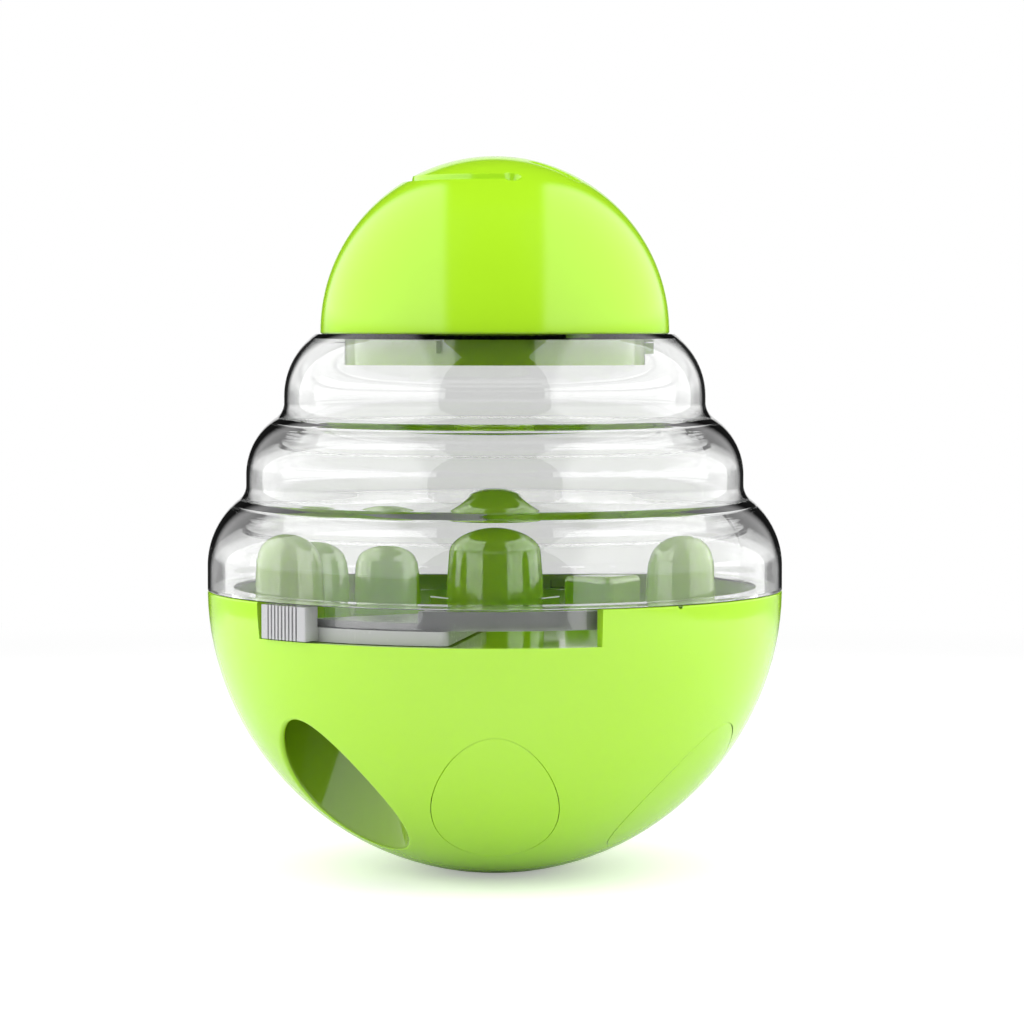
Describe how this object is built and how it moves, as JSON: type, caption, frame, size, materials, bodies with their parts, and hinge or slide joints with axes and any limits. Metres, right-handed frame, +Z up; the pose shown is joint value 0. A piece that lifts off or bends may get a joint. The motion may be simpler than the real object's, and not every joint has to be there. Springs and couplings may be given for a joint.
{
  "type": "treat ball",
  "caption": "Tumbling treat ball with a weighted bowl, a floor with pegs, a swinging drop gate, a clear tiered shell and a twist-off domed cap.",
  "frame": {"origin": "under the ball at the middle of its small flat foot, on the surface it stands on", "axes": "+Z up along the ball's axis; -Y is the front, with the window and the plugged outlet; +X is to the right seen from the front"},
  "size_m": [0.112, 0.112, 0.1394],
  "materials": {
    "green_plastic": "gloss",
    "clear_plastic": "clear gloss",
    "grey_plastic": "satin",
    "inner_plastic": "matt",
    "iron": "rough",
    "steel": "zinc plated"
  },
  "bodies": {
    "bowl": {"base_shell": "green_plastic", "outlet_plug_front": "green_plastic", "outlet_plug_right": "green_plastic", "outlet_plug_back_right": "green_plastic", "outlet_plug_back": "green_plastic", "outlet_plug_back_left": "green_plastic", "counterweight": "iron", "weight_cover": "inner_plastic", "weight_screws": "steel", "maze_floor": "green_plastic", "floor_screws": "steel", "centre_post": "green_plastic", "post_screw": "steel"},
    "gate": {"gate_ring": "grey_plastic"},
    "shell": {"clear_shell": "clear_plastic"},
    "cap": {"cap": "green_plastic"}
  },
  "joints": [
    {"name": "gate_turn", "type": "hinge", "parent": "bowl", "child": "gate", "pos_m": [0, 0, 0.04838], "axis": [0, 0, 1], "range_deg": [0, 57]},
    {"name": "shell_turn", "type": "hinge", "parent": "bowl", "child": "shell", "pos_m": [0, 0, 0.05518], "axis": [0, 0, 1], "range_deg": [0, 20]},
    {"name": "cap_turn", "type": "hinge", "parent": "shell", "child": "cap", "pos_m": [0, 0, 0.10488], "axis": [0, 0, 1], "range_deg": [0, 54]}
  ]
}
